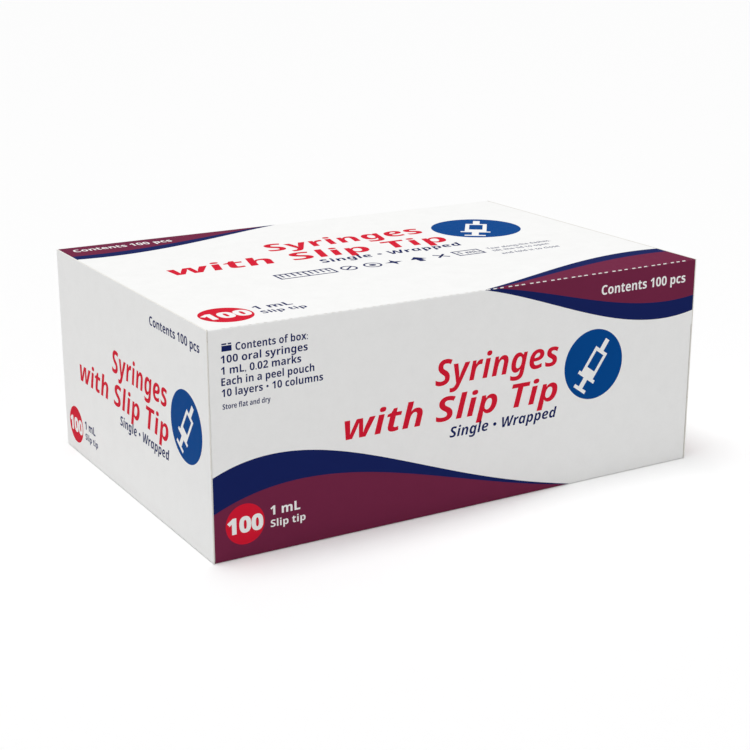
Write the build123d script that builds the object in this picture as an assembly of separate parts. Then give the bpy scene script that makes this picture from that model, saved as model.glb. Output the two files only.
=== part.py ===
"""Folding carton of one hundred wrapped 1 mL slip-tip syringes.

The carton is one creased sheet of paperboard, glued into a tube and closed at both ends.
Each panel and flap is its own solid, and neighbours meet on the middle of the crease.
The top panel is the lid: it tears free along a perforated front edge and swings on its back crease.
Inside, ten layers of ten peel pouches each hold a barrel, a plunger rod and a rubber gasket.

Units are millimetres. +X runs along the carton, +Y to the back and +Z up.
The origin is the middle of the underside.
"""

import os
from math import cos, pi, sin

from build123d import *

# Carton, outside
LENGTH = 206.0
DEPTH = 141.2
HEIGHT = 81.3
BOARD = 0.4  # paperboard thickness
FOLD_R = 0.6  # outside radius of a crease
MELT = 0.1  # thickness of the hot-melt spots, and so the play of a lid ear
SEAM = 0.1  # thickness of the glue line in the body seam

# An end closure has two layers: the end panel outside, then the dust flaps and the lid's ear
X_END = LENGTH / 2  # outer face of an end panel
X_IN = X_END - BOARD - MELT  # outer face of the dust flaps and the lid ears
Y_SEAM = DEPTH / 2 - BOARD - SEAM  # outer face of the glue flap

# Flaps
EAR_DROP = 25.0
EAR_TAPER = 9.0
DUST_REACH = 62.0
DUST_TAPER = 4.0
DUST_RELIEF = 0.9  # gap between a dust flap and the bottom panel or a lid ear
DUST_TOP = HEIGHT - EAR_DROP - DUST_RELIEF
GLUE_FLAP = 15.0
END_SHORT = 0.1  # an end panel stops this far under the top face
FLAP_CORNER = 6.0

# Perforation of the front top crease: groups of three cuts
CUT = 1.2
CUT_PITCH = 2.85
CUTS_IN_GROUP = 3
GROUP_PITCH = 9.4
CUT_WIDTH = 0.08
CUT_DEPTH = 3.0

# Hot-melt spots, on the overlap of the end panels and the dust flaps
SPOT_R = 4.5
SPOT_Y = (DEPTH / 2 - 15.0, DEPTH / 2 - 45.0)
SPOT_Z = (13.0, 42.0)

# Pouches: a paper web below, a clear thermoformed film above
COLUMNS = 10
LAYERS = 10
COLUMN_PITCH = 20.2
LAYER_PITCH = 8.0
STACK_Z = BOARD + 0.05
POUCH_W = 19.8
POUCH_L = 134.0
PAPER = 0.1
FILM = 0.15
POUCH_H = 7.9
WELL_L = 117.0  # the formed well of the film
WELL_HEAD_W = 17.4
WELL_BARREL_W = 11.0
WELL_CORNER_R = 2.4
AXIS_Z = 3.95  # height of the syringe's axis over the underside of the paper

# Syringe. Its tip points to -Y in the pouch's own frame.
TIP_Y = -57.5
TIP_L = 9.0
TIP_R = 1.965  # slip tip, 6 % taper
TIP_ROOT_R = 2.235
TIP_BORE_R = 0.8
BARREL_R = 3.2
BORE_R = 2.36  # 1 mL over a stroke of 57.2 mm
BARREL_L = 70.0
END_WALL = 1.0
FLANGE_W = 14.8
FLANGE_H = 6.9
FLANGE_T = 1.4
FLANGE_CORNER = 2.8
GASKET_R = 2.33
GASKET_L = 5.5
GASKET_RIB = 1.0
GASKET_WAIST = 0.25
NOSE = 0.9
HEAD_R = 1.05
NECK_R = 0.7
POCKET_PLAY = 0.1
ROD_W = 4.3
RIB_T = 1.0
DISC_T = 1.0
THUMB_R = 3.7
THUMB_T = 1.4
THUMB_GAP = 8.5  # from the flange to the thumb rest, with the plunger home

SHOULDER_Y = TIP_Y + TIP_L
BARREL_END_Y = SHOULDER_Y + BARREL_L
BORE_END_Y = SHOULDER_Y + END_WALL
GASKET_Y = BORE_END_Y + 0.3
GASKET_END_Y = GASKET_Y + GASKET_L
THUMB_Y = BARREL_END_Y + THUMB_GAP

REACH = 400.0  # longer than anything here, for prisms that another shape cuts to size
X, Y, Z = Vector(1, 0, 0), Vector(0, 1, 0), Vector(0, 0, 1)


def half_fold(at, side, radius):
    """The eighth of a circle from a panel's flat surface to the middle of its crease.

    `at` is where the flat board would reach if it weren't folded, and side is +1 at a
    panel's start and -1 at its end. The points run from the flat to the crease.
    """
    points = []
    for angle in (0.0, pi / 8, pi / 4):
        along = at + side * (FOLD_R - radius * sin(angle))
        points.append((along, FOLD_R - radius * cos(angle)))
    return points


def wall_profile(length, start_folded, end_folded):
    """Section of a board: x runs along it and y into it. Folded ends stop on the crease's middle."""
    outer, inner = FOLD_R, FOLD_R - BOARD
    if start_folded:
        a0, a1, a2 = half_fold(0.0, 1, outer)
        b0, b1, b2 = half_fold(0.0, 1, inner)
        start = ThreePointArc(a0, a1, a2) + Line(a2, b2) + ThreePointArc(b2, b1, b0)
    else:
        a0, b0 = (0.0, 0.0), (0.0, BOARD)
        start = Line(a0, b0)
    if end_folded:
        c0, c1, c2 = half_fold(length, -1, outer)
        d0, d1, d2 = half_fold(length, -1, inner)
        end = ThreePointArc(c0, c1, c2) + Line(c2, d2) + ThreePointArc(d2, d1, d0)
    else:
        c0, d0 = (length, 0.0), (length, BOARD)
        end = Line(c0, d0)
    return make_face(start + Line(b0, d0) + end + Line(c0, a0))


def board(origin, along, inward, length, folds, run=REACH):
    """A board of one section. `origin` is on its outer face, and it extends run / 2 each way."""
    plane = Plane(origin=origin, x_dir=along, z_dir=along.cross(inward))
    return extrude(plane * wall_profile(length, *folds), amount=run / 2, both=True)


def outline_prism(points, corner_r, plane):
    """A prism with a rounded polygon as its base, long enough to cut any board."""
    shape = Polygon(*points, align=None)
    free = shape.vertices().sort_by(Axis.Y)[:2]
    return extrude(plane * fillet(free, corner_r), amount=REACH, both=True)


def side_wall(face, bottom_folded):
    """The front (face -1) or back (face +1) panel.

    Its ends are creased as high as the dust flaps reach, and cut square above them.
    """
    y, inward = face * DEPTH / 2, -face * Y
    up = board(Vector(0, y, 0), Z, inward, HEIGHT, (bottom_folded, True))
    creased = board(Vector(-X_IN, y, 0), X, inward, 2 * X_IN, (True, True))
    square = board(Vector(-X_IN, y, 0), X, inward, 2 * X_IN, (False, False))
    low = Pos(0, 0, DUST_TOP - REACH / 2) * Box(REACH, REACH, REACH)
    return (up & creased & low) + ((up & square) - low)


def bottom_panel():
    deep = board(Vector(0, -DEPTH / 2, 0), Y, Z, DEPTH / 2 + Y_SEAM, (True, True))
    across = board(Vector(-X_END, 0, 0), X, Z, 2 * X_END, (True, True))
    return deep & across


def lid_panel():
    deep = board(Vector(0, -DEPTH / 2, HEIGHT), Y, -Z, DEPTH, (True, True))
    across = board(Vector(-X_IN, 0, HEIGHT), X, -Z, 2 * X_IN, (True, True))
    return deep & across


def perforation():
    """Slots on the middle of the front top crease, in groups of three."""
    middle = Vector(0, -DEPTH / 2 + FOLD_R / 2, HEIGHT - FOLD_R / 2)
    slot = Pos(*middle) * Rot(-45, 0, 0) * Box(CUT, CUT_DEPTH, CUT_WIDTH)
    groups = int((2 * X_IN - 1.0) // GROUP_PITCH)
    first = -(groups - 1) / 2 * GROUP_PITCH
    slots = []
    for group in range(groups):
        for cut in range(CUTS_IN_GROUP):
            x = first + group * GROUP_PITCH + (cut - (CUTS_IN_GROUP - 1) / 2) * CUT_PITCH
            slots.append(Pos(x, 0, 0) * slot)
    return slots


def end_panel(side):
    """Outer end closure, hinged on the bottom panel and glued to the dust flaps."""
    origin = Vector(side * X_END, 0, 0)
    return board(origin, Z, -side * X, HEIGHT - END_SHORT, (True, False), run=DEPTH)


def lid_ear(side):
    """Flap on the lid's end that slides in behind the end panel."""
    wall = board(Vector(side * X_IN, 0, HEIGHT), -Z, -side * X, EAR_DROP, (True, False))
    half, low = DEPTH / 2 - 1.0, HEIGHT - EAR_DROP
    points = [
        (-half, HEIGHT + 1),
        (-half + EAR_TAPER, low),
        (half - EAR_TAPER, low),
        (half, HEIGHT + 1),
    ]
    return wall & outline_prism(points, FLAP_CORNER, Plane.YZ)


def dust_flap(side, face):
    """Inner flap hinged on the front (face -1) or back (face +1) panel at one end."""
    origin = Vector(side * X_IN, face * DEPTH / 2, 0)
    wall = board(origin, -face * Y, -side * X, DUST_REACH, (True, False))
    low, high = DUST_RELIEF, DUST_TOP
    free = DEPTH / 2 - DUST_REACH
    # the plane's Y runs towards the crease, so the two rounded corners are the free ones
    plane = Plane(origin=(0, 0, 0), x_dir=Z, z_dir=Z.cross(face * Y))
    points = [
        (low, DEPTH / 2 + 1),
        (low + DUST_TAPER, free),
        (high - DUST_TAPER, free),
        (high, DEPTH / 2 + 1),
    ]
    return wall & outline_prism(points, FLAP_CORNER, plane)


def glue_flap():
    """Flap of the bottom panel, glued to the inside of the back panel to close the tube."""
    wall = board(Vector(0, Y_SEAM, 0), Z, -Y, GLUE_FLAP, (True, False))
    half = X_IN - 3.0
    plane = Plane(origin=(0, 0, 0), x_dir=X, z_dir=X.cross(-Z))
    points = [
        (-half, 1),
        (-half + DUST_TAPER, -GLUE_FLAP),
        (half - DUST_TAPER, -GLUE_FLAP),
        (half, 1),
    ]
    return wall & outline_prism(points, 3.0, plane)


def seam_glue():
    low, high = 3.0, GLUE_FLAP - 2.0
    line = Box(2 * X_IN - 24.0, SEAM, high - low)
    return Pos(0, Y_SEAM + SEAM / 2, (low + high) / 2) * line


def end_glue_spots():
    spot = Rot(0, 90, 0) * Cylinder(SPOT_R, MELT)
    spots = []
    for side in (-1, 1):
        for face in (-1, 1):
            for y in SPOT_Y:
                for z in SPOT_Z:
                    spots.append(Pos(side * (X_IN + MELT / 2), face * y, z) * spot)
    return spots


def well_outline():
    """Plan of the film's well: narrow round the barrel, wide round the flange and plunger."""
    end, head, neck = WELL_L / 2, WELL_HEAD_W / 2, WELL_BARREL_W / 2
    step = BARREL_END_Y - FLANGE_T - 4.0
    points = [
        (-neck, -end),
        (neck, -end),
        (neck, step - 5.0),
        (head, step),
        (head, end),
        (-head, end),
        (-head, step),
        (-neck, step - 5.0),
    ]
    shape = Polygon(*points, align=None)
    return fillet(shape.vertices(), WELL_CORNER_R)


def pouch_film():
    sheet = RectangleRounded(POUCH_W, POUCH_L, 1.0)
    base = extrude(Pos(0, 0, PAPER) * sheet, amount=FILM)
    outer = well_outline()
    inner = offset(outer, amount=-FILM)
    height = POUCH_H - PAPER
    dome = extrude(Pos(0, 0, PAPER) * outer, amount=height)
    return (base + dome) - extrude(Pos(0, 0, PAPER) * inner, amount=height - FILM)


def pouch_paper():
    return extrude(RectangleRounded(POUCH_W, POUCH_L, 1.0), amount=PAPER)


def turned(points):
    """A solid of revolution about the syringe's axis. Points are (radius, y)."""
    solid = revolve(make_face(Polyline(*points, close=True)), Axis.Y)
    return Pos(0, 0, AXIS_Z) * solid


def disc(radius, low, high):
    return turned([(0, low), (radius, low), (radius, high), (0, high)])


def barrel():
    body = turned(
        [
            (TIP_BORE_R, TIP_Y),
            (TIP_R, TIP_Y),
            (TIP_ROOT_R, SHOULDER_Y),
            (BARREL_R - 0.5, SHOULDER_Y),
            (BARREL_R, SHOULDER_Y + 0.5),
            (BARREL_R, BARREL_END_Y),
            (BORE_R, BARREL_END_Y),
            (BORE_R, BORE_END_Y),
            (TIP_BORE_R, BORE_END_Y),
        ]
    )
    wings = RectangleRounded(FLANGE_W, FLANGE_H, FLANGE_CORNER) - Circle(BORE_R + 0.4)
    plane = Plane(origin=(0, BARREL_END_Y, AXIS_Z), x_dir=X, z_dir=-Y)
    return body + extrude(plane * wings, amount=FLANGE_T)


def gasket():
    rear, waist = GASKET_END_Y, GASKET_R - GASKET_WAIST
    neck_end = rear - 1.2
    pocket_end = neck_end - 1.4
    return turned(
        [
            (0, GASKET_Y),
            (GASKET_R - NOSE, GASKET_Y + 0.3),
            (GASKET_R, GASKET_Y + NOSE),
            (GASKET_R, GASKET_Y + NOSE + GASKET_RIB),
            (waist, GASKET_Y + NOSE + GASKET_RIB + 0.3),
            (waist, rear - GASKET_RIB - 0.3),
            (GASKET_R, rear - GASKET_RIB),
            (GASKET_R, rear),
            (NECK_R + POCKET_PLAY, rear),
            (NECK_R + POCKET_PLAY, neck_end),
            (HEAD_R + POCKET_PLAY, neck_end),
            (HEAD_R + POCKET_PLAY, pocket_end),
            (0, pocket_end),
        ]
    )


def plunger():
    head_y = GASKET_END_Y - 2.5
    front_y = GASKET_END_Y + 0.05
    end_y = THUMB_Y + THUMB_T
    middle, length = (front_y + THUMB_Y) / 2, THUMB_Y - front_y
    ribs = Box(ROD_W, length, RIB_T) + Box(RIB_T, length, ROD_W)
    rod = Pos(0, middle, AXIS_Z) * ribs
    rod += disc(HEAD_R, head_y, head_y + 1.2) + disc(NECK_R, head_y, front_y + 0.5)
    for y in (front_y, front_y + 6.0, BARREL_END_Y - 3.0):
        rod += disc(ROD_W / 2, y, y + DISC_T)
    thumb = turned(
        [
            (0, THUMB_Y),
            (THUMB_R, THUMB_Y),
            (THUMB_R, end_y - 0.3),
            (THUMB_R - 0.3, end_y),
            (0, end_y),
        ]
    )
    return rod + thumb


def place(column, layer):
    """Where a pouch lies. Neighbours lie head to tail, so the wide ends alternate."""
    x = (column - (COLUMNS - 1) / 2) * COLUMN_PITCH
    turn = 180 if (column + layer) % 2 else 0
    return Pos(x, 0, STACK_Z + layer * LAYER_PITCH) * Rot(0, 0, turn)


def copies(piece, places):
    solid = piece.solids()[0]
    return [solid.moved(at) for at in places]


def write(name, shape):
    solids = shape if isinstance(shape, list) else shape.solids()
    whole = Compound(children=list(solids)) if len(solids) > 1 else solids[0]
    export_step(whole, f"parts/{name}.step")


def main():
    os.makedirs("parts", exist_ok=True)
    slots = perforation()
    write("front_panel", side_wall(-1, True) - slots)
    write("lid_panel", lid_panel() - slots)
    write("back_panel", side_wall(1, False))
    write("bottom_panel", bottom_panel())
    write("glue_flap", glue_flap())
    write("seam_glue", seam_glue())
    write("end_glue_spots", end_glue_spots())
    for side, side_name in ((-1, "left"), (1, "right")):
        write(f"end_panel_{side_name}", end_panel(side))
        write(f"lid_ear_{side_name}", lid_ear(side))
        for face, face_name in ((-1, "front"), (1, "back")):
            write(f"dust_flap_{face_name}_{side_name}", dust_flap(side, face))

    top = [place(column, LAYERS - 1) for column in range(COLUMNS)]
    lower = [place(c, layer) for layer in range(LAYERS - 1) for c in range(COLUMNS)]
    for name, make in (
        ("pouch_papers", pouch_paper),
        ("pouch_films", pouch_film),
        ("barrels", barrel),
        ("plungers", plunger),
        ("gaskets", gasket),
    ):
        piece = make()
        write(f"stack_{name}", copies(piece, lower))
        if name in ("plungers", "gaskets"):
            for number, solid in enumerate(copies(piece, top), 1):
                write(f"{name[:-1]}_{number:02d}", [solid])
        else:
            write(f"top_{name}", copies(piece, top))


main()
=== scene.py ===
"""Looks of the syringe carton: printed paperboard outside, peel pouches and syringes inside.

Sizes of print and detail are in millimetres on the object, and everything is built in metres
in the CAD model's own frame. Each printed face has its own flat coordinates: x from its left
edge and y down from its top edge, as seen from outside.
"""

import functools
import math

import bmesh
import bpy
from mathutils import Matrix, Vector


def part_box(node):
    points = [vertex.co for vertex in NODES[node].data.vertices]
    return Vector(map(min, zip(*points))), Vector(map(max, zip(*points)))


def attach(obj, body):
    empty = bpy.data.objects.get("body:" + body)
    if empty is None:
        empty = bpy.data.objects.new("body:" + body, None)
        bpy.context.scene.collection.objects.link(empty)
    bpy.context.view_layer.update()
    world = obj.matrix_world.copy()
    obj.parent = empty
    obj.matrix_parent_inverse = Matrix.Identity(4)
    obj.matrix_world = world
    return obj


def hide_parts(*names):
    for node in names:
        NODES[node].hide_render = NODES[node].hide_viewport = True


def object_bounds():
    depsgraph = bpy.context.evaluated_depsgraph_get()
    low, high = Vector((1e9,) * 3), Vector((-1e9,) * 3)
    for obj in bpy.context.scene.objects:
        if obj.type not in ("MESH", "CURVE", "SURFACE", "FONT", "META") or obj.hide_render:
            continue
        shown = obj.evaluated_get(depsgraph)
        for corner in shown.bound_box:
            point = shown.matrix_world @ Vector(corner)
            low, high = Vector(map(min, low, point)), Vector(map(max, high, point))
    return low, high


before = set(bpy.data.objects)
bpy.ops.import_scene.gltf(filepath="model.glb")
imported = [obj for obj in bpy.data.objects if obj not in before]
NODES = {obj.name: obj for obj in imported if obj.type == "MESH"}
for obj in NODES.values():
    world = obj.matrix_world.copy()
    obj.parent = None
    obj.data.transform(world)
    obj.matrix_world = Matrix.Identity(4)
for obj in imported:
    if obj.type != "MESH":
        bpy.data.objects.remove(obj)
LOW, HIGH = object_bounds()
MM = 0.001

# ---------------------------------------------------------------------------------------
# Camera and studio
# ---------------------------------------------------------------------------------------

LENGTH = HIGH.x - LOW.x
AZIMUTH = math.radians(-30.49)
ELEVATION = math.radians(16.94)
LENS = 74.66
DISTANCE, ASIDE, RAISED = 3.055, 0.0054, 0.1487  # where the camera is, in carton lengths
BACK = Vector(
    (
        math.sin(AZIMUTH) * math.cos(ELEVATION),
        -math.cos(AZIMUTH) * math.cos(ELEVATION),
        math.sin(ELEVATION),
    )
)
RIGHT = Vector((math.cos(AZIMUTH), math.sin(AZIMUTH), 0))
UP = BACK.cross(RIGHT)

camera = bpy.data.objects.new("camera", bpy.data.cameras.new("camera"))
bpy.context.scene.collection.objects.link(camera)
camera.data.lens = LENS
camera.data.sensor_width = 36.0
camera.data.clip_start = 0.01
camera.data.clip_end = 50.0
camera.rotation_mode = "QUATERNION"
camera.rotation_quaternion = (-BACK).to_track_quat("-Z", "Y")
camera.location = LENGTH * (DISTANCE * BACK + ASIDE * RIGHT + RAISED * UP)
bpy.context.scene.camera = camera
bpy.context.scene.view_settings.view_transform = "Standard"
# Light reaches the paper under a syringe, and comes back, through twelve clear surfaces
bpy.context.scene.cycles.transparent_max_bounces = 32


def linear(code):
    """A colour as Blender's nodes take it, from six hex digits."""
    channels = [int(code[i : i + 2], 16) / 255 for i in (0, 2, 4)]
    return (*[c / 12.92 if c <= 0.04045 else ((c + 0.055) / 1.055) ** 2.4 for c in channels], 1.0)


class Graph:
    """A node material, built up socket by socket."""

    def __init__(self, name):
        self.material = bpy.data.materials.new(name)
        self.material.use_nodes = True
        self.tree = self.material.node_tree
        self.shader = self.tree.nodes["Principled BSDF"]

    def put(self, kind, inputs=None, **settings):
        node = self.tree.nodes.new("ShaderNode" + kind)
        for key, value in settings.items():
            setattr(node, key, value)
        for key, value in (inputs or {}).items():
            self.wire(node.inputs[key], value)
        return node

    def wire(self, socket, value):
        if isinstance(value, bpy.types.NodeSocket):
            self.tree.links.new(value, socket)
        else:
            socket.default_value = value

    def surface(self, **inputs):
        for key, value in inputs.items():
            self.wire(self.shader.inputs[key.replace("_", " ")], value)

    def math(self, operation, a, b=0.0):
        return self.put("Math", {0: a, 1: b}, operation=operation).outputs[0]

    def mix(self, factor, a, b):
        node = self.put("Mix", data_type="RGBA")
        for index, value in ((0, factor), (6, a), (7, b)):
            self.wire(node.inputs[index], value)
        return node.outputs[2]

    def place(self):
        """The point in the object's own frame, in metres."""
        return self.put("TexCoord").outputs["Object"]

    def normal(self):
        return self.put("TexCoord").outputs["Normal"]

    def dot(self, vector, direction):
        node = self.put("VectorMath", {0: vector, 1: direction}, operation="DOT_PRODUCT")
        return node.outputs["Value"]

    def noise(self, size, detail=3.0, roughness=0.55, stretch=(1, 1, 1)):
        """Noise from 0 to 1 whose grains are about `size` millimetres across."""
        scale = self.put("Mapping", {"Vector": self.place(), "Scale": stretch}).outputs[0]
        inputs = {"Vector": scale, "Scale": 1 / (size * MM), "Detail": detail, "Roughness": roughness}
        return self.put("TexNoise", inputs).outputs["Fac"]

    def ramp(self, value, low, high, to_low=0.0, to_high=1.0):
        inputs = {0: value, 1: low, 2: high, 3: to_low, 4: to_high}
        return self.put("MapRange", inputs, clamp=True).outputs[0]

    def bump(self, height, distance, strength=1.0):
        inputs = {"Height": height, "Distance": distance * MM, "Strength": strength}
        return self.put("Bump", inputs).outputs[0]

    def wave(self, x, points):
        """The smooth curve through the points, level beyond the first and the last."""
        places, terms = (list(column) for column in zip(*points))
        x = self.ramp(x, places[0], places[-1], places[0], places[-1])
        for step in range(1, len(terms)):
            for i in range(len(terms) - 1, step - 1, -1):
                terms[i] = (terms[i] - terms[i - 1]) / (places[i] - places[i - step])
        level = terms.pop()
        for place, term in zip(places[-2::-1], terms[::-1]):
            level = self.math("MULTIPLY", level, self.math("SUBTRACT", x, place))
            level = self.math("ADD", level, term)
        return level

    def from_middle(self, value, pitch):
        """How far the value is from the middle of the repeat that it is in."""
        return self.math("SUBTRACT", self.math("FLOORED_MODULO", value, pitch), pitch / 2)

    def between(self, factor, a, b):
        return self.put("Mix", {0: factor, 2: a, 3: b}, data_type="FLOAT").outputs[0]


# ---------------------------------------------------------------------------------------
# Faces of the carton
# ---------------------------------------------------------------------------------------


class Face:
    """One printed face: where its top-left corner is, and which way its x and y run."""

    def __init__(self, name, body, corner, across, down):
        self.name, self.body = name, body
        self.corner, self.across, self.down = Vector(corner), Vector(across), Vector(down)
        self.out = self.down.cross(self.across)

    def matrix(self, x, y):
        """Puts a flat shape, drawn with y up, on the face with its origin at (x, y)."""
        spot = self.corner + (self.across * x + self.down * y) * MM
        turn = Matrix((self.across, -self.down, self.out)).transposed().to_4x4()
        return Matrix.Translation(spot) @ turn @ Matrix.Scale(MM, 4)

    def coordinates(self, graph, point):
        """Sockets for x and y on the face, in millimetres."""
        found = []
        for direction in (self.across, self.down):
            along = graph.math("SUBTRACT", graph.dot(point, direction), self.corner.dot(direction))
            found.append(graph.math("DIVIDE", along, MM))
        return found


X, Y, Z = Vector((1, 0, 0)), Vector((0, 1, 0)), Vector((0, 0, 1))
FRONT = Face("front", "carton", (LOW.x, LOW.y, HIGH.z), X, -Z)
BACK_FACE = Face("back", "carton", (HIGH.x, HIGH.y, HIGH.z), -X, -Z)
LEFT_END = Face("left_end", "carton", (LOW.x, HIGH.y, HIGH.z), -Y, -Z)
RIGHT_END = Face("right_end", "carton", (HIGH.x, LOW.y, HIGH.z), Y, -Z)
TOP = Face("top", "lid", (LOW.x, HIGH.y, HIGH.z), X, -Y)
# The lid's bands are drawn from its folds: y runs inward from the front or the back edge
LID_FRONT = Face("lid_front", "lid", (LOW.x, LOW.y, HIGH.z), X, Y)
LID_BACK = Face("lid_back", "lid", (HIGH.x, HIGH.y, HIGH.z), -X, -Y)

WIDE = LENGTH / MM

WHITE = linear("FBFBFA")
NAVY = linear("19255F")
MAROON = linear("762A48")
RED = linear("DC1E37")
BLUE = linear("064A92")

# Edges of the wave bands: the places along and down the face that each curve passes through
UPPER_NAVY = ((102, -1), (140, 10), (175, 20), (206, 20))
UPPER_MAROON = ((103, -1), (136, 5), (166, 12), (206, 14))
LOWER_NAVY = ((0, 51), (24, 46), (60, 53), (105, 69), (153, 82))
LOWER_MAROON = ((0, 64), (30, 57), (67, 61), (105, 71), (153, 82))
LID_NAVY = ((104, -1), (140, 11), (178, 22), (206, 22))
LID_MAROON = ((106, -1), (140, 7), (180, 16), (206, 16))

# The perforation, as cut in the CAD model
CUT, CUT_PITCH, GROUP_PITCH, GROUPS = 1.2, 2.85, 9.4, 21
HALF_GROUP = 1.5 * CUT_PITCH  # a group is three cuts
BRUISE = 0.34  # how far the white round a cut reaches from the fold
BRUISE_ENDS = 0.15  # and past the cut's ends
BRUISED = linear("FAF9F7")
PULP_ROUGH = 0.86
FACES_OUT = 0.55  # cosine of the widest angle at which board still counts as printed
SHEEN = 0.01  # the print is close to matt


def band(graph, face, point, edge, below):
    """1 inside a wave band, which lies below its edge or else above it, and 0 elsewhere."""
    x, y = face.coordinates(graph, point)
    line = graph.wave(x, edge)
    first, second = (y, line) if below else (line, y)
    return graph.math("GREATER_THAN", first, second)


def perforation(graph, face, point):
    """1 on the bruised white board round the cuts, on the face's first edge."""
    x, y = face.coordinates(graph, point)
    offset = GROUPS * GROUP_PITCH / 2 - WIDE / 2
    in_group = graph.from_middle(graph.math("ADD", x, offset), GROUP_PITCH)
    from_cut = graph.from_middle(graph.math("ADD", in_group, HALF_GROUP), CUT_PITCH)
    mask = graph.math("LESS_THAN", graph.math("ABSOLUTE", from_cut), CUT / 2 + BRUISE_ENDS)
    for distance, limit in (
        (in_group, HALF_GROUP),
        (graph.math("SUBTRACT", x, WIDE / 2), GROUPS * GROUP_PITCH / 2),
        (y, BRUISE),
    ):
        inside = graph.math("LESS_THAN", graph.math("ABSOLUTE", distance), limit)
        mask = graph.math("MULTIPLY", mask, inside)
    return mask


def coated(graph, colour):
    """Clay-coated, varnished board: even colour with a faint fibre mottle under a soft sheen."""
    cloud = graph.ramp(graph.noise(7.0, 4.0, 0.6), 0.35, 0.7, 1.0, 0.975)
    fleck = graph.ramp(graph.noise(0.9, 2.0), 0.3, 0.75, 1.0, 0.985)
    shade = graph.math("MULTIPLY", cloud, fleck)
    tint = graph.mix(shade, (0, 0, 0, 1), colour)
    sheen = graph.ramp(graph.noise(2.5, 3.0), 0.3, 0.7, 0.46, 0.56)
    relief = graph.bump(graph.noise(0.45, 3.0), 0.004, 0.5)
    return tint, sheen, relief


def board(name, out, bands=(), folds=()):
    """Board printed on the side that faces `out`, plain white pulp on its back and edges."""
    graph = Graph(name)
    point = graph.place()
    colour = WHITE
    for face, edge, ink, below in bands:
        colour = graph.mix(band(graph, face, point, edge, below), colour, ink)
    for face in folds:
        y = face.coordinates(graph, point)[1]
        crack = graph.ramp(graph.noise(1.1, 3.0), 0.52, 0.6, 0.0, 0.08)
        worn = graph.math("MULTIPLY", crack, graph.ramp(y, 0.3, 0.6, 1.0, 0.0))
        colour = graph.mix(worn, colour, WHITE)
        colour = graph.mix(perforation(graph, face, point), colour, BRUISED)
    tint, sheen, relief = coated(graph, colour)
    fibre = graph.noise(0.6, 5.0, 0.7, (1, 3, 1))
    pulp = graph.mix(graph.ramp(fibre, 0.3, 0.7), linear("EAE8E1"), linear("F6F4EE"))
    speck = graph.ramp(graph.noise(1.3, 1.0), 0.70, 0.74, 0.0, 0.35)
    pulp = graph.mix(speck, pulp, linear("CFC7B6"))
    printed = graph.math("GREATER_THAN", graph.dot(graph.normal(), out), FACES_OUT)
    smoother = graph.math("MULTIPLY", printed, graph.math("SUBTRACT", sheen, PULP_ROUGH))
    rough = graph.math("ADD", smoother, PULP_ROUGH)
    graph.surface(Base_Color=graph.mix(printed, pulp, tint), Roughness=rough, Normal=relief)
    graph.surface(Specular_IOR_Level=SHEEN)
    return graph.material


def ink(name, colour):
    graph = Graph(name)
    tint, sheen, relief = coated(graph, colour)
    graph.surface(Base_Color=tint, Roughness=graph.math("SUBTRACT", sheen, 0.05), Normal=relief)
    graph.surface(Specular_IOR_Level=SHEEN)
    return graph.material


def finished(name, made):
    """The mesh of a bmesh that is no longer needed."""
    mesh = bpy.data.meshes.new(name)
    made.to_mesh(mesh)
    made.free()
    return mesh


def dress(material, *names):
    for name in names:
        mesh = NODES[name].data
        mesh.materials.clear()
        mesh.materials.append(material)


UPPER = ((UPPER_NAVY, NAVY, False), (UPPER_MAROON, MAROON, False))
LOWER = ((LOWER_NAVY, NAVY, True), (LOWER_MAROON, MAROON, True))
LID = ((LID_NAVY, NAVY, False), (LID_MAROON, MAROON, False))

dress(board("board_front", -Y, [(FRONT, *b) for b in UPPER + LOWER], [FRONT]), "front_panel")
dress(board("board_back", Y, [(BACK_FACE, *b) for b in UPPER + LOWER]), "back_panel")
lid_bands = [(face, *b) for face in (LID_FRONT, LID_BACK) for b in LID]
dress(board("board_lid", Z, lid_bands, [LID_FRONT]), "lid_panel")
dress(board("board_bottom", -Z), "bottom_panel", "glue_flap")
for side, out in (("left", -X), ("right", X)):
    plain = board(f"board_{side}_end", out)
    flaps = [f"dust_flap_{panel}_{side}" for panel in ("front", "back")]
    dress(plain, f"end_panel_{side}", f"lid_ear_{side}", *flaps)

# ---------------------------------------------------------------------------------------
# Print
# ---------------------------------------------------------------------------------------

INKS = {"navy": NAVY, "red": RED, "blue": BLUE, "white": WHITE}
INK_MATERIALS = {name: ink(f"ink_{name}", colour) for name, colour in INKS.items()}
SUNK = 0.05  # how far print reaches into the board
FILM_THIN, FILM_THICK = 0.012, 0.02  # how far a disc and a letter stand on it
SHEETS = {}  # (face, ink) to the bmesh that collects that print


def sheet_for(face, ink_name):
    key = (face.name, ink_name)
    if key not in SHEETS:
        SHEETS[key] = (face, bmesh.new())
    return SHEETS[key][1]


def plate(face, ink_name, outline, x, y, proud=FILM_THICK, turn=0.0):
    """A flat printed shape with a straight-sided outline, in millimetres about (x, y)."""
    sheet = sheet_for(face, ink_name)
    matrix = face.matrix(x, y) @ Matrix.Rotation(turn, 4, "Z")
    low = [sheet.verts.new(matrix @ Vector((a, b, -SUNK))) for a, b in outline]
    high = [sheet.verts.new(matrix @ Vector((a, b, proud))) for a, b in outline]
    sheet.faces.new(high)
    sheet.faces.new(low[::-1])
    for i in range(len(outline)):
        j = (i + 1) % len(outline)
        sheet.faces.new((low[i], low[j], high[j], high[i]))


def bar(face, ink_name, x, y, offset, size, turn):
    """A rectangle of print, its middle at `offset` in a frame turned about (x, y)."""
    (cx, cy), (w, h) = offset, size
    outline = [(cx + a * w / 2, cy + b * h / 2) for a, b in ((-1, -1), (1, -1), (1, 1), (-1, 1))]
    plate(face, ink_name, outline, x, y, turn=turn)


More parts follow.
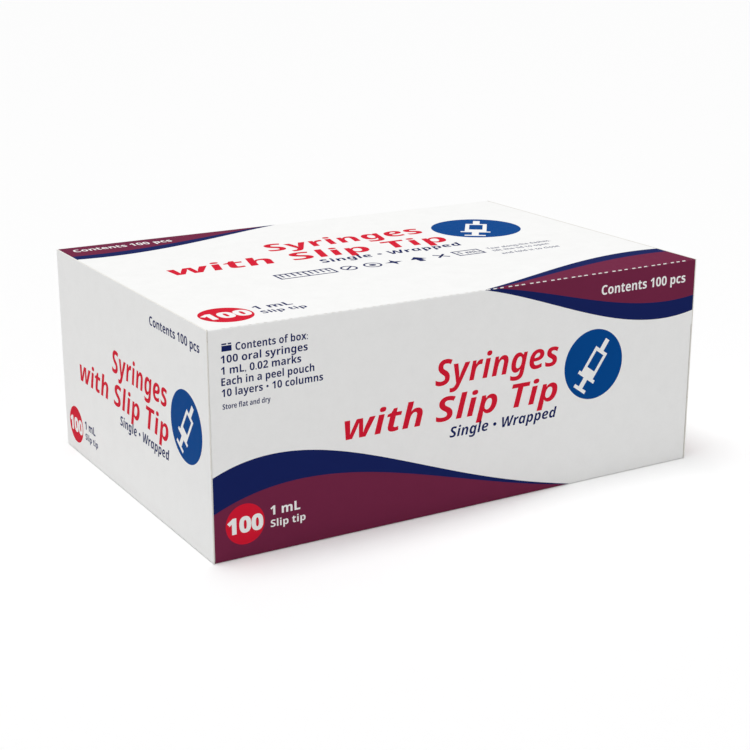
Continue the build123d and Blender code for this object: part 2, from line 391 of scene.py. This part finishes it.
def disc(face, ink_name, x, y, radius):
    steps = [math.tau * i / 128 for i in range(128)]
    plate(face, ink_name, [(radius * math.cos(a), radius * math.sin(a)) for a in steps], x, y, FILM_THIN)


# Where each weight's capitals, small letters and digits start among Unicode's sans-serif letters.
# Blender's own fonts hold them, so every weight is a true one.
WEIGHTS = {
    "heavy": (0x1D5D4, 0x1D5EE, 0x1D7EC),
    "lean": (0x1D63C, 0x1D656, 0x1D7EC),
}


def weighted(text, weight):
    capital, small, digit = WEIGHTS[weight]
    made = ""
    for letter in text:
        for first, last, start in (("A", "Z", capital), ("a", "z", small), ("0", "9", digit)):
            if first <= letter <= last:
                letter = chr(start + ord(letter) - ord(first))
                break
        made += letter
    return made


# One text serves for all lettering, because the font is read afresh for each new one
TEXT = bpy.data.objects.new("letters", bpy.data.curves.new("letters", "FONT"))
TEXT.data.extrude = 0.5


@functools.cache
def letter_mesh(text, weight, fine, bold=0.0):
    """Extruded letters, 1 unit thick."""
    TEXT.data.body = weighted(text, weight)
    TEXT.data.offset = bold
    TEXT.data.resolution_u = fine
    return bpy.data.meshes.new_from_object(TEXT)


def span(mesh, axis):
    values = [v.co[axis] for v in mesh.vertices]
    return min(values), max(values)


CAPITAL = span(letter_mesh("H", "heavy", 2), 1)[1]


def words(face, ink_name, text, left, right, baseline, cap, weight="heavy", fine=2, bold=0.0):
    """Letters that fill left to right, with capitals of height cap on the baseline."""
    mesh = letter_mesh(text, weight, fine, bold).copy()
    low, high = span(mesh, 0)
    wide, tall = (right - left) / (high - low), cap / (CAPITAL + bold)
    thick = SUNK + FILM_THICK
    matrix = face.matrix(left, baseline) @ Matrix.Translation((0, 0, (FILM_THICK - SUNK) / 2))
    mesh.transform(matrix @ Matrix.Diagonal((wide, tall, thick, 1)) @ Matrix.Translation((-low, 0, 0)))
    sheet_for(face, ink_name).from_mesh(mesh)
    bpy.data.meshes.remove(mesh)


def syringe_sign(face, x, y, radius):
    """A plain syringe, drawn in bars, across the blue disc."""
    unit = radius / 10
    turn = math.radians(55)
    for offset, size in (
        ((-7.9, 0), (1.0, 4.6)),  # thumb rest
        ((-6.0, 0), (2.8, 1.5)),  # rod
        ((-4.1, 0), (1.0, 6.6)),  # flange
        ((0.0, 1.95), (7.2, 0.9)),  # barrel walls
        ((0.0, -1.95), (7.2, 0.9)),
        ((-2.6, 0), (2.0, 3.0)),  # gasket
        ((4.1, 0), (1.0, 4.8)),  # end wall
        ((6.3, 0), (3.4, 1.5)),  # tip
    ):
        scaled = [tuple(v * unit for v in pair) for pair in (offset, size)]
        bar(face, "white", x, y, *scaled, turn)


def title(face, first, second, third, right):
    """The red title's two lines and the navy line under it: (left, baseline, cap) of each."""
    for text, ink_name, (left, baseline, cap) in (
        ("Syringes", "red", first),
        ("with Slip Tip", "red", second),
        ("Single • Wrapped", "navy", third),
    ):
        words(face, ink_name, text, left, right, baseline, cap, "lean", 5)


# The count's half width, baseline and capitals, in radii of its disc
COUNT_HALF, COUNT_DROP, COUNT_CAP = 0.92, 0.39, 0.77


def quantity(face, x, y, radius, ink_name, side, first, second):
    """The red disc with the count, and the volume and tip beside it."""
    disc(face, "red", x, y, radius)
    half, baseline, cap = (radius * part for part in (COUNT_HALF, COUNT_DROP, COUNT_CAP))
    words(face, "white", "100", x - half, x + half, y + baseline, cap, fine=4, bold=0.03)
    (right, baseline, cap), (right_2, baseline_2, cap_2) = first, second
    words(face, ink_name, "1 mL", side, right, baseline, cap, fine=3, bold=0.006)
    words(face, ink_name, "Slip tip", side, right_2, baseline_2, cap_2)


def long_side(face):
    words(face, "white", "Contents 100 pcs", 160.4, 201, 8.6, 3.6)
    title(face, (87.5, 32.7, 9.4), (50.6, 46.2, 9.0), (93.8, 52.9, 3.9), 141.4)
    disc(face, "blue", 158, 35, 13.6)
    syringe_sign(face, 158, 35, 13.6)
    quantity(face, 12.1, 69.1, 7.3, "white", 21.6, (33, 67.9, 3.3), (35, 72.3, 2.6))
    for text, left, right, baseline in (
        ("Contents of box:", 10.2, 36.8, 8.0),
        ("100 oral syringes", 4.8, 36.7, 11.8),
        ("1 mL, 0.02 marks", 4.8, 34.2, 15.6),
        ("Each in a peel pouch", 4.8, 39.1, 19.4),
        ("10 layers • 10 columns", 4.8, 42.4, 23.2),
    ):
        words(face, "navy", text, left, right, baseline, 2.6)
    words(face, "navy", "Store flat and dry", 5.0, 22.5, 27.5, 1.8)
    for offset, size in (((0, 0), (3.6, 1.9)), ((-0.9, 1.5), (1.8, 0.5)), ((1.1, 1.5), (1.2, 0.5))):
        bar(face, "navy", 7.0, 6.9, offset, size, 0.0)


def short_side(face):
    words(face, "navy", "Contents 100 pcs", 93.5, 135.4, 9.1, 3.3)
    title(face, (55, 36, 8.9), (19.4, 48.8, 8.6), (60.6, 55.4, 3.8), 106.7)
    disc(face, "blue", 122.4, 38.1, 13.0)
    syringe_sign(face, 122.4, 38.1, 13.0)
    quantity(face, 11.6, 69.5, 7.5, "navy", 21.5, (32.8, 68.4, 3.3), (35, 72.9, 2.6))


def ring(face, ink_name, x, y, outer, inner):
    """A printed ring about (x, y)."""
    steps = 48
    sheet = sheet_for(face, ink_name)
    matrix = face.matrix(x, y)
    sections = []
    for i in range(steps):
        ray = Vector((math.cos(math.tau * i / steps), math.sin(math.tau * i / steps), 0))
        corners = ((inner, -SUNK), (outer, -SUNK), (outer, FILM_THICK), (inner, FILM_THICK))
        sections.append([sheet.verts.new(matrix @ (ray * radius + Z * z)) for radius, z in corners])
    for i in range(steps):
        here, before = sections[i], sections[i - 1]
        for k in range(4):
            sheet.faces.new((here[k - 1], here[k], before[k], before[k - 1]))


def outline_box(face, ink_name, x, y, width, height, line):
    """A printed rectangle of lines about (x, y)."""
    for side in (-1, 1):
        bar(face, ink_name, x, y, (0, side * (height - line) / 2), (width, line), 0.0)
        bar(face, ink_name, x, y, (side * (width - line) / 2, 0), (line, height - 2 * line), 0.0)


def pictograms(face):
    """A row of plain signs: a scale, two rings, a star, an arrow, a cross and the volume."""
    y, line = 87.2, 0.8
    outline_box(face, "navy", 65, y, 24, 7.6, line)
    for mark in range(1, 10):
        height = 4.2 if mark % 5 else 6.0
        bar(face, "navy", 53 + 2.4 * mark, y, (0, (6.0 - height) / 2), (line, height), 0.0)
    ring(face, "navy", 83.2, y, 3.4, 2.6)
    bar(face, "navy", 83.2, y, (0, 0), (5.4, line), math.radians(45))
    ring(face, "navy", 93.5, y, 3.7, 2.9)
    disc(face, "navy", 93.5, y, 1.4)
    rays = [(radius, math.tau * i / 8) for i, radius in enumerate((3.9, 1.3) * 4)]
    plate(face, "navy", [(r * math.cos(a), r * math.sin(a)) for r, a in rays], 102.8, y)
    arrow = [(0, 3.6), (3.6, -0.4), (1.3, -0.4), (1.3, -3.8)]
    plate(face, "navy", arrow + [(-a, b) for a, b in arrow[:0:-1]], 113.8, y)
    for turn in (45, -45):
        bar(face, "navy", 124.3, y, (0, 0), (7.0, 1.0), math.radians(turn))
    outline_box(face, "navy", 136.9, y, 12.4, 7.6, line)
    words(face, "navy", "1 mL", 132.2, 141.6, y + 1.6, 3.4)


def top_side(face):
    words(face, "white", "Contents 100 pcs", 4.4, 45.6, 9.4, 4.3)
    title(face, (71, 46.9, 12.5), (22.5, 65.6, 12.0), (79, 74.8, 5.4), 143.2)
    disc(face, "blue", 165.8, 49.6, 18.8)
    syringe_sign(face, 165.8, 49.6, 18.8)
    quantity(face, 14, 126.4, 9.5, "navy", 25.6, (40, 125, 4.2), (42.5, 131, 3.4))
    pictograms(face)
    for text, right, baseline in (
        ("Tear along the dashes,", 177.5, 86.6),
        ("lift the lid to open", 173.5, 91.0),
        ("and fold it to close", 174.5, 96.7),
    ):
        words(face, "navy", text, 147, right, baseline, 2.5, bold=-0.015)


for long_face in (FRONT, BACK_FACE):
    long_side(long_face)
for end_face in (LEFT_END, RIGHT_END):
    short_side(end_face)
top_side(TOP)

for (face_name, ink_name), (face, collected) in SHEETS.items():
    bmesh.ops.remove_doubles(collected, verts=collected.verts, dist=1e-8)
    mesh = finished(f"print_{face_name}_{ink_name}", collected)
    mesh.materials.clear()
    mesh.materials.append(INK_MATERIALS[ink_name])
    for polygon in mesh.polygons:
        polygon.use_smooth = False
        polygon.material_index = 0
    printed_piece = bpy.data.objects.new(mesh.name, mesh)
    bpy.context.scene.collection.objects.link(printed_piece)
    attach(printed_piece, face.body)

# ---------------------------------------------------------------------------------------
# What is inside
# ---------------------------------------------------------------------------------------


def moulded(name, code, rough, grain=0.0, alpha=None, rim_alpha=0.25):
    """Moulded plastic or rubber: slight flow marks in its gloss, and see-through if alpha is set."""
    graph = Graph(name)
    streak = graph.noise(3.0, 3.0, 0.5, (1, 0.25, 1))
    base = linear(code)
    dark = tuple(c * 0.94 for c in base[:3]) + (1.0,)
    graph.surface(Base_Color=graph.mix(streak, dark, base))
    graph.surface(Roughness=graph.ramp(streak, 0.3, 0.7, rough, rough + 0.1))
    graph.surface(Normal=graph.bump(graph.noise(0.5, 2.0), 0.01 + grain, 0.4))
    if alpha is not None:
        rim = graph.put("LayerWeight", {"Blend": 0.2}).outputs["Facing"]
        graph.surface(Alpha=graph.ramp(rim, 0.0, 1.0, alpha, rim_alpha))
        graph.surface(Specular_IOR_Level=0.7)
    return graph.material


def paper(name):
    graph = Graph(name)
    fibre = graph.noise(0.5, 5.0, 0.7, (1, 0.4, 1))
    graph.surface(Base_Color=graph.mix(fibre, linear("E4E4E0"), linear("F7F7F4")))
    graph.surface(Roughness=0.85, Normal=graph.bump(fibre, 0.02, 0.6))
    return graph.material


numbered = [f"{i:02d}" for i in range(1, 11)]
dress(paper("pouch_paper"), "top_pouch_papers", "stack_pouch_papers")
dress(moulded("pouch_film", "EEF3F6", 0.12, 0.03, 0.03), "top_pouch_films", "stack_pouch_films")
dress(moulded("clear_barrel", "D3DEE5", 0.10, 0.0, 0.03, 0.4), "top_barrels", "stack_barrels")
dress(moulded("plunger_white", "EDEEEE", 0.32), "stack_plungers", *[f"plunger_{n}" for n in numbered])
dress(moulded("rubber_black", "0C0C0D", 0.55, 0.02), "stack_gaskets", *[f"gasket_{n}" for n in numbered])
dress(moulded("hot_melt", "D9CFAE", 0.35, 0.04), "seam_glue", "end_glue_spots")

# The top layer's pouches get formed films and marked barrels. These are a pouch's own sizes,
# about the middle of its paper's underside, with the syringe's tip towards -y.
POUCH_W, POUCH_L, SEAL_Z = 19.8, 134.0, 0.25
HALF_WELL = [(5.5, -58.5), (5.5, 11.1), (8.7, 16.1), (8.7, 58.5)]
WELL = HALF_WELL + [(-a, b) for a, b in HALF_WELL[::-1]]
WELL_CORNER = 3.2
# How far the wall has drawn in from the well's plan, at each height
WALL = ((-0.45, SEAL_Z), (-0.12, 0.4), (0.05, 0.8), (0.5, 6.2), (0.8, 7.1), (1.35, 7.65), (2.1, 7.85))
AXIS_Z, BARREL_R = 3.95, 3.2
SCALE_START, SCALE_LENGTH, SCALE_STEPS = -46.3, 57.2, 50
MARK_LINE, LONG_MARK, SHORT_MARK, MARK_EDGE = 0.2, 3.4, 1.9, -1.7
NUMBER_SIZE, NUMBER_MIDDLE = 2.1, -3.6
INK_HALF = 0.02  # half the thickness of the barrel's ink
EMBOSSING = 0.13 * MM  # spacing of the seal's grid, over 2 pi


def rounded(points, radius, steps=6):
    """The polygon's outline with its corners rounded, with the outward direction at each point."""
    made = []
    count = len(points)
    for i in range(count):
        here = Vector(points[i])
        back = (Vector(points[i - 1]) - here).normalized()
        ahead = (Vector(points[(i + 1) % count]) - here).normalized()
        half = back.angle(ahead) / 2
        turn = 1 if ahead.cross(back) > 0 else -1
        centre = here + (back + ahead).normalized() * (radius / math.sin(half))
        start = here + back * (radius / math.tan(half)) - centre
        sweep = turn * (math.pi - 2 * half)
        for step in range(steps + 1):
            ray = Matrix.Rotation(sweep * step / steps, 2) @ start
            made.append((centre + ray, ray.normalized() * turn))
    return made


def pouch_places():
    """Matrices that put a pouch's own frame, in millimetres, at each pouch of the top layer."""
    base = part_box("top_pouch_papers")[0].z
    places = []
    for number in numbered:
        low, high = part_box(f"plunger_{number}")
        turned = math.pi if low.y + high.y > 0 else 0.0
        at = Matrix.Translation(((low.x + high.x) / 2, 0, base))
        places.append(at @ Matrix.Rotation(turned, 4, "Z") @ Matrix.Scale(MM, 4))
    return places


def piece(name, mesh_maker, material, slot, *replaced):
    """One object holding mesh_maker's shape at every pouch of the top layer."""
    whole = bmesh.new()
    one = mesh_maker()
    for place in pouch_places():
        copy = one.copy()
        copy.transform(place)
        whole.from_mesh(copy)
        bpy.data.meshes.remove(copy)
    mesh = finished(name, whole)
    mesh.materials.clear()
    mesh.materials.append(material)
    made = bpy.data.objects.new(name, mesh)
    bpy.context.scene.collection.objects.link(made)
    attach(made, "carton")
    if replaced:
        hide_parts(*replaced)
    return made


def formed_film():
    """The clear film: a flat rim sealed to the paper, and a drawn well with soft shoulders."""
    film = bmesh.new()
    corners = [(a * POUCH_W / 2, b * POUCH_L / 2) for a, b in ((-1, -1), (1, -1), (1, 1), (-1, 1))]
    rim = [film.verts.new((p.x, p.y, SEAL_Z)) for p, _ in rounded(corners, 1.0, 4)]
    outline = rounded(WELL, WELL_CORNER)
    rings = []
    for inset, z in WALL:
        rings.append([film.verts.new((*(p - out * inset), z)) for p, out in outline])
    edges = []
    for loop in (rim, rings[0]):
        edges += [film.edges.new((loop[i - 1], loop[i])) for i in range(len(loop))]
    bmesh.ops.triangle_fill(film, use_beauty=True, use_dissolve=False, edges=edges)
    for lower, upper in zip(rings, rings[1:]):
        for i in range(len(lower)):
            wall = film.faces.new((lower[i - 1], lower[i], upper[i], upper[i - 1]))
            wall.smooth = True
    film.faces.new(rings[-1])
    bmesh.ops.recalc_face_normals(film, faces=film.faces)
    if sum(f.normal.z * f.calc_area() for f in film.faces) < 0:
        bmesh.ops.reverse_faces(film, faces=film.faces)
    return finished("film", film)


def bent(mesh_in, x, y):
    """Flat shapes, drawn with x across and y along, wrapped on the barrel with (x, y) at its top."""
    for vertex in mesh_in.vertices:
        flat = vertex.co
        angle = (flat.x + x) / BARREL_R
        radius = BARREL_R + flat.z
        vertex.co = (radius * math.sin(angle), flat.y + y, AXIS_Z + radius * math.cos(angle))
    return mesh_in


def strip(width, length, steps):
    """A thin strip of ink, in `steps` pieces across its width so that it can bend."""
    made = bmesh.new()
    rings = []
    corners = ((-1, -INK_HALF), (1, -INK_HALF), (1, INK_HALF), (-1, INK_HALF))
    for i in range(steps + 1):
        a = -width / 2 + width * i / steps
        rings.append([made.verts.new((a, side * length / 2, z)) for side, z in corners])
    for first, second in zip(rings, rings[1:]):
        for k in range(4):
            made.faces.new((first[k], first[k - 1], second[k - 1], second[k]))
    made.faces.new(rings[0])
    made.faces.new(rings[-1][::-1])
    return finished("strip", made)


def scale_marks():
    """Marks every 0.02 mL, longer ones with a number every 0.1 mL, wrapped on the barrel."""
    marks = bmesh.new()
    for step in range(SCALE_STEPS + 1):
        tenth = step % 5 == 0
        y = SCALE_START + SCALE_LENGTH * step / SCALE_STEPS
        width = LONG_MARK if tenth else SHORT_MARK
        mark = bent(strip(width, MARK_LINE, 6), MARK_EDGE + width / 2, y)
        marks.from_mesh(mark)
        bpy.data.meshes.remove(mark)
        if tenth and step:
            number = letter_mesh(f"{step / SCALE_STEPS:.1f}", "heavy", 1).copy()
            low, high = span(number, 0)
            size = Matrix.Diagonal((NUMBER_SIZE, NUMBER_SIZE, 2 * INK_HALF, 1))
            size = size @ Matrix.Rotation(math.pi, 4, "Z")
            number.transform(size @ Matrix.Translation((-(low + high) / 2, -CAPITAL / 2, 0)))
            bent(number, NUMBER_MIDDLE, y)
            marks.from_mesh(number)
            bpy.data.meshes.remove(number)
    return finished("marks", marks)


def film_material():
    """Clear film, milkier and embossed with a fine grid where it is sealed to the paper."""
    graph = Graph("formed_film")
    point = graph.place()
    seal_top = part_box("top_pouch_papers")[0].z + (SEAL_Z + 0.05) * MM
    sealed = graph.math("LESS_THAN", graph.dot(point, Z), seal_top)
    grid = 1.0
    for direction in (X + Y, X - Y):
        wave = graph.math("SINE", graph.math("MULTIPLY", graph.dot(point, direction), 1.0 / EMBOSSING))
        grid = graph.math("MULTIPLY", wave, grid)
    ripple = graph.noise(6.0, 3.0, 0.5, (1, 0.4, 1))
    height = graph.between(sealed, ripple, grid)
    rim = graph.put("LayerWeight", {"Blend": 0.2}).outputs["Facing"]
    clear = graph.ramp(rim, 0.0, 1.0, 0.015, 0.3)
    graph.surface(Base_Color=linear("F2F6F8"), Roughness=graph.between(sealed, 0.09, 0.3))
    graph.surface(Alpha=graph.between(sealed, clear, 0.2), Specular_IOR_Level=0.8)
    graph.surface(Normal=graph.bump(height, 0.05, 0.5))
    return graph.material


wells = piece("top_formed_films", formed_film, film_material(), "film", "top_pouch_films")
skin = wells.modifiers.new("thickness", "SOLIDIFY")
skin.thickness = 0.15 * MM
skin.offset = -1.0
piece("top_scale_marks", scale_marks, moulded("scale_ink", "1A1B1D", 0.45), "clear_barrel")

# ---------------------------------------------------------------------------------------
# Floor and light
# ---------------------------------------------------------------------------------------

SKY = 0.36  # even light from all round
SUN = 0.67  # large soft light overhead, a little to the left
SUN_FROM = (-0.13, -0.01, 1.0)
SUN_WIDTH = math.radians(35)
BACKDROP = 0.975
FLOOR_GAP = 0.00005  # the floor lies this far under the carton, so that they don't share a plane

ground = bpy.data.meshes.new("floor")
REACH = 12.0
corners = [(a * REACH, b * REACH, 0) for a, b in ((-1, -1), (1, -1), (1, 1), (-1, 1))]
ground.from_pydata(corners, [], [(0, 1, 2, 3)])
floor_look = Graph("floor")
floor_look.surface(Base_Color=linear("FCFCFC"), Roughness=0.9, Specular_IOR_Level=0.1)
ground.materials.append(floor_look.material)
floor = bpy.data.objects.new("floor", ground)
floor.location.z = LOW.z - FLOOR_GAP
bpy.context.scene.collection.objects.link(floor)

world = bpy.data.worlds.new("studio")
bpy.context.scene.world = world
world.use_nodes = True
sky = world.node_tree.nodes["Background"]
sky.inputs["Color"].default_value = (1, 1, 1, 1)
sky.inputs["Strength"].default_value = SKY
# Past the end of the floor the backdrop itself is seen, as white as the floor
backdrop = world.node_tree.nodes.new("ShaderNodeBackground")
backdrop.inputs["Color"].default_value = (BACKDROP, BACKDROP, BACKDROP, 1)
seen = world.node_tree.nodes.new("ShaderNodeMixShader")
link = world.node_tree.links.new
link(world.node_tree.nodes.new("ShaderNodeLightPath").outputs["Is Camera Ray"], seen.inputs[0])
link(sky.outputs[0], seen.inputs[1])
link(backdrop.outputs[0], seen.inputs[2])
link(seen.outputs[0], world.node_tree.nodes["World Output"].inputs["Surface"])

sun = bpy.data.objects.new("sun", bpy.data.lights.new("sun", "SUN"))
sun.data.energy = SUN * math.pi
sun.data.angle = SUN_WIDTH
sun.rotation_mode = "QUATERNION"
sun.rotation_quaternion = Vector(SUN_FROM).to_track_quat("Z", "Y")
bpy.context.scene.collection.objects.link(sun)
